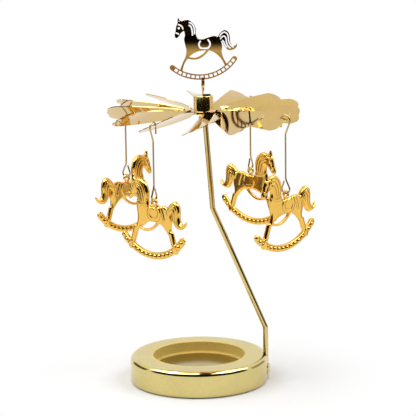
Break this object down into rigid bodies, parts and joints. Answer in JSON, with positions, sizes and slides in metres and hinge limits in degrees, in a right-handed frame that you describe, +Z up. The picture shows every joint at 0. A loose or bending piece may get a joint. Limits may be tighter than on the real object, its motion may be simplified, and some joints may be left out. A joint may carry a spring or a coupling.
{
  "type": "carousel candle holder",
  "caption": "Heat-driven tealight carousel: pressed round base with a candle well, bent post ending in a needle, and a bladed rotor carrying hanging rocking horses.",
  "frame": {"origin": "centre of the base's underside, on the table", "axes": "+Z up, +X from the base's centre to the post's foot, +Y away from the picture's camera"},
  "size_m": [0.096, 0.096, 0.1589],
  "materials": {
    "base_plate": "satin pale gold plating on pressed sheet",
    "post_rod": "bright pale gold plating on bent rod",
    "rotor_sheet": "mirror-bright pale gold plating on thin sheet",
    "hub_gold": "bright gold plating on turned metal",
    "topper_sheet": "mirror-bright gold plating on thin sheet",
    "wire": "bright gold plating on bent wire",
    "horse_gold": "deep gold plating on a relief casting"
  },
  "bodies": {
    "stand": {"base_shell": "base_plate", "post_socket": "base_plate", "post": "post_rod"},
    "rotor": {"rotor": "rotor_sheet", "hub_cap": "hub_gold", "pivot_seat": "hub_gold", "topper": "topper_sheet"},
    "hanger_back_right": {"hanger_back_right": "wire"},
    "horse_back_right": {"horse_back_right": "horse_gold"},
    "hanger_back_left": {"hanger_back_left": "wire"},
    "horse_back_left": {"horse_back_left": "horse_gold"},
    "hanger_front_left": {"hanger_front_left": "wire"},
    "horse_front_left": {"horse_front_left": "horse_gold"},
    "hanger_front_right": {"hanger_front_right": "wire"},
    "horse_front_right": {"horse_front_right": "horse_gold"}
  },
  "joints": [
    {"name": "rotor_spin", "type": "hinge", "parent": "stand", "child": "rotor", "pos_m": [0.0033, 0, 0.1243], "axis": [0, 0, 1], "continuous": true},
    {"name": "hanger_back_right_swing", "type": "hinge", "parent": "rotor", "child": "hanger_back_right", "pos_m": [0.02405, 0.0342, 0.11779], "axis": [0.8549, -0.5188, 0], "range_deg": [-20, 45]},
    {"name": "horse_back_right_rock", "type": "hinge", "parent": "hanger_back_right", "child": "horse_back_right", "pos_m": [0.02405, 0.0342, 0.08679], "axis": [-0.6978, -0.7163, 0], "range_deg": [-25, 25]},
    {"name": "hanger_back_left_swing", "type": "hinge", "parent": "rotor", "child": "hanger_back_left", "pos_m": [-0.0309, 0.02075, 0.11779], "axis": [0.5188, 0.8549, 0], "range_deg": [-20, 45]},
    {"name": "horse_back_left_rock", "type": "hinge", "parent": "hanger_back_left", "child": "horse_back_left", "pos_m": [-0.0309, 0.02075, 0.08679], "axis": [0.7163, -0.6978, 0], "range_deg": [-25, 25]},
    {"name": "hanger_front_left_swing", "type": "hinge", "parent": "rotor", "child": "hanger_front_left", "pos_m": [-0.01745, -0.0342, 0.11779], "axis": [-0.8549, 0.5188, 0], "range_deg": [-20, 45]},
    {"name": "horse_front_left_rock", "type": "hinge", "parent": "hanger_front_left", "child": "horse_front_left", "pos_m": [-0.01745, -0.0342, 0.08679], "axis": [0.6978, 0.7163, 0], "range_deg": [-25, 25]},
    {"name": "hanger_front_right_swing", "type": "hinge", "parent": "rotor", "child": "hanger_front_right", "pos_m": [0.0375, -0.02075, 0.11779], "axis": [-0.5188, -0.8549, 0], "range_deg": [-20, 45]},
    {"name": "horse_front_right_rock", "type": "hinge", "parent": "hanger_front_right", "child": "horse_front_right", "pos_m": [0.0375, -0.02075, 0.08679], "axis": [-0.7163, 0.6978, 0], "range_deg": [-25, 25]}
  ]
}
